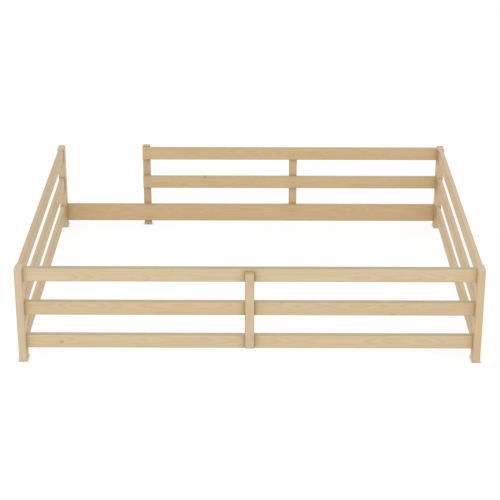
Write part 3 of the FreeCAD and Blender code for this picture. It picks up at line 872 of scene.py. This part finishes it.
class FLOORBED_OT_front_rails(bpy.types.Operator):
    """Finish the three front rails"""

    bl_idname = "floor_bed.front_rails"
    bl_label = "Front rails"

    def execute(self, context):
        finish_boards(context.scene.bed_pine, [f"front_{row}_rail" for row in ROWS])
        return {"FINISHED"}


class FLOORBED_OT_end_rails(bpy.types.Operator):
    """Finish the rails of both ends"""

    bl_idname = "floor_bed.end_rails"
    bl_label = "End rails"

    def execute(self, context):
        names = [f"{end}_{row}_rail" for end in ("left", "right") for row in ROWS]
        finish_boards(context.scene.bed_pine, names)
        return {"FINISHED"}


class FLOORBED_OT_rear_rails(bpy.types.Operator):
    """Finish the rear bottom rail and the two fence rails"""

    bl_idname = "floor_bed.rear_rails"
    bl_label = "Rear rails"

    def execute(self, context):
        names = ["rear_bottom_rail", "fence_middle_rail", "fence_top_rail"]
        finish_boards(context.scene.bed_pine, names)
        return {"FINISHED"}


class FLOORBED_OT_uprights(bpy.types.Operator):
    """Finish the two short uprights and the end post of the fence"""

    bl_idname = "floor_bed.uprights"
    bl_label = "Uprights"

    def execute(self, context):
        finish_boards(context.scene.bed_pine, UPRIGHTS)
        return {"FINISHED"}


class FLOORBED_OT_connector_bolts(bpy.types.Operator):
    """Make the connector bolts of the four corners"""

    bl_idname = "floor_bed.connector_bolts"
    bl_label = "Connector bolts"

    def execute(self, context):
        look = context.scene.bed_steel
        for corner in CORNERS:
            replacement(
                f"{corner}_bolts", bright_zinc(look),
                lambda mesh, box: add_connector_bolt(mesh, box, look.thread_pitch),
            )
        return {"FINISHED"}


class FLOORBED_OT_barrel_nuts(bpy.types.Operator):
    """Finish the barrel nuts"""

    bl_idname = "floor_bed.barrel_nuts"
    bl_label = "Barrel nuts"

    def execute(self, context):
        for corner in CORNERS:
            paint(f"{corner}_barrel_nuts", bright_zinc(context.scene.bed_steel))
        return {"FINISHED"}


class FLOORBED_OT_dowels(bpy.types.Operator):
    """Make the fluted dowels"""

    bl_idname = "floor_bed.dowels"
    bl_label = "Dowels"

    def execute(self, context):
        wood = beech(context.scene.bed_beech)
        for corner in CORNERS:
            replacement(f"{corner}_dowels", wood, add_dowel)
        return {"FINISHED"}


class FLOORBED_OT_wood_screws(bpy.types.Operator):
    """Make the countersunk screws of the uprights"""

    bl_idname = "floor_bed.wood_screws"
    bl_label = "Wood screws"

    def execute(self, context):
        look = context.scene.bed_steel
        plating = zinc("yellow_zinc", look.yellow_colour, look.brown_colour)
        for name in UPRIGHTS:
            replacement(
                f"{name}_screws", plating,
                lambda mesh, box: add_wood_screw(mesh, box, look.screw_pitch),
            )
        return {"FINISHED"}


class FLOORBED_OT_studio(bpy.types.Operator):
    """Set up the floor, the light and the camera"""

    bl_idname = "floor_bed.studio"
    bl_label = "Studio"

    def execute(self, context):
        look = context.scene.bed_studio
        add_camera(look)
        add_light(look)
        add_floor(look)
        context.scene.view_settings.view_transform = "Standard"
        return {"FINISHED"}


def add_camera(look):
    """The camera at the picture's place, angle and focal length."""
    far_away = 100.0
    lens = bpy.data.cameras.new("camera")
    lens.sensor_width = SENSOR
    lens.lens = look.focal_pixels / PICTURE_SIDE * SENSOR
    lens.shift_y = -look.horizon_rise / PICTURE_SIDE
    lens.clip_end = far_away
    camera = bpy.data.objects.new("camera", lens)
    tilt = Euler((math.pi / 2 - look.camera_tilt, 0, look.camera_turn)).to_matrix()
    turn = tilt @ Matrix.Rotation(look.camera_roll, 3, "Z")
    camera.matrix_world = Matrix.Translation(look.camera_place) @ turn.to_4x4()
    bpy.context.scene.collection.objects.link(camera)
    bpy.context.scene.camera = camera


def seen_share(finish):
    """1 for rays that come from the camera, a mirror or glass, else 0."""
    camera_ray = finish.add("ShaderNodeLightPath", output="Is Camera Ray")
    seen = finish.math("MAXIMUM", camera_ray, camera_ray.output("Is Glossy Ray"))
    return finish.math("MAXIMUM", seen, camera_ray.output("Is Transmission Ray"))


def add_light(look):
    """An even white sky and one large soft lamp above the camera."""
    world = bpy.data.worlds.new("studio")
    sky = Finish(world)
    strength = look.sky_strength + seen_share(sky) * (1.0 - look.sky_strength)
    light = sky.add("ShaderNodeBackground", inputs={"Color": WHITE, "Strength": strength})
    sky.add("ShaderNodeOutputWorld", inputs={"Surface": light})
    bpy.context.scene.world = world

    lamp = bpy.data.lights.new("key", "AREA")
    lamp.shape = "RECTANGLE"
    lamp.size, lamp.size_y = KEY_SIZE
    lamp.energy = look.key_power
    key = bpy.data.objects.new("key", lamp)
    key.location = KEY_PLACE
    aim = Vector(KEY_AIM) - key.location
    key.rotation_euler = aim.to_track_quat("-Z", "Y").to_euler()
    bpy.context.scene.collection.objects.link(key)


def add_floor(look):
    """A round pale floor. The camera sees it near white, with the bed's soft shadow and a painted
    contact shadow round each foot.
    """
    mesh = bmesh.new()
    bmesh.ops.create_circle(mesh, cap_ends=True, segments=96, radius=FLOOR_RADIUS)
    data = bpy.data.meshes.new("floor")
    mesh.to_mesh(data)
    mesh.free()
    floor = bpy.data.objects.new("floor", data)
    floor.location.z = -FLOOR_DROP
    bpy.context.scene.collection.objects.link(floor)

    # Painted contact shadow: the thin dark line where a foot meets the floor.
    finish = new_material("studio_floor")
    place = finish.add("ShaderNodeTexCoord", output="Object")
    feet = [middle_and_half(low, high) for low, high in BOX.values() if low.z < TOUCHING]
    painted_foot_shadow = painted_contact_shade(finish, place, 0.0, feet, look.contact_shadow_reach)
    white = finish.colour_mix(painted_foot_shadow, WHITE, rgba(look.contact_shadow_tone))

    matt = finish.add("ShaderNodeBsdfDiffuse", inputs={"Color": rgba(look.floor_colour)})
    glow = finish.add(
        "ShaderNodeEmission", inputs={"Color": white, "Strength": look.floor_glow}
    )
    seen = finish.add(
        "ShaderNodeMixShader", inputs={0: seen_share(finish) * look.glow_share, 1: matt, 2: glow}
    )
    finish.add("ShaderNodeOutputMaterial", inputs={"Surface": seen})
    data.materials.append(finish.owner)


STEPS = (
    FLOORBED_OT_corner_posts,
    FLOORBED_OT_front_rails,
    FLOORBED_OT_end_rails,
    FLOORBED_OT_rear_rails,
    FLOORBED_OT_uprights,
    FLOORBED_OT_connector_bolts,
    FLOORBED_OT_barrel_nuts,
    FLOORBED_OT_dowels,
    FLOORBED_OT_wood_screws,
    FLOORBED_OT_studio,
)
LOOKS = {
    "bed_pine": PineLook,
    "bed_beech": BeechLook,
    "bed_steel": SteelLook,
    "bed_studio": StudioLook,
}


class FLOORBED_PT_steps(bpy.types.Panel):
    """The steps that finish the bed, and their sizes and colours"""

    bl_idname = "FLOORBED_PT_steps"
    bl_label = "Floor bed"
    bl_space_type = "VIEW_3D"
    bl_region_type = "UI"
    bl_category = "Floor Bed"

    def draw(self, context):
        for step in STEPS:
            self.layout.operator(step.bl_idname)
        for name in LOOKS:
            look = getattr(context.scene, name)
            box = self.layout.box()
            for prop in look.bl_rna.properties:
                if not prop.is_readonly and prop.identifier != "name":
                    box.prop(look, prop.identifier)


def register():
    for look in LOOKS.values():
        bpy.utils.register_class(look)
    for name, look in LOOKS.items():
        setattr(bpy.types.Scene, name, bpy.props.PointerProperty(type=look))
    for step in STEPS:
        bpy.utils.register_class(step)
    bpy.utils.register_class(FLOORBED_PT_steps)


def unregister():
    bpy.utils.unregister_class(FLOORBED_PT_steps)
    for step in reversed(STEPS):
        bpy.utils.unregister_class(step)
    for name, look in LOOKS.items():
        delattr(bpy.types.Scene, name)
        bpy.utils.unregister_class(look)


def main():
    register()
    for step in STEPS:
        group, _, name = step.bl_idname.partition(".")
        getattr(getattr(bpy.ops, group), name)()


if __name__ == "__main__":
    main()
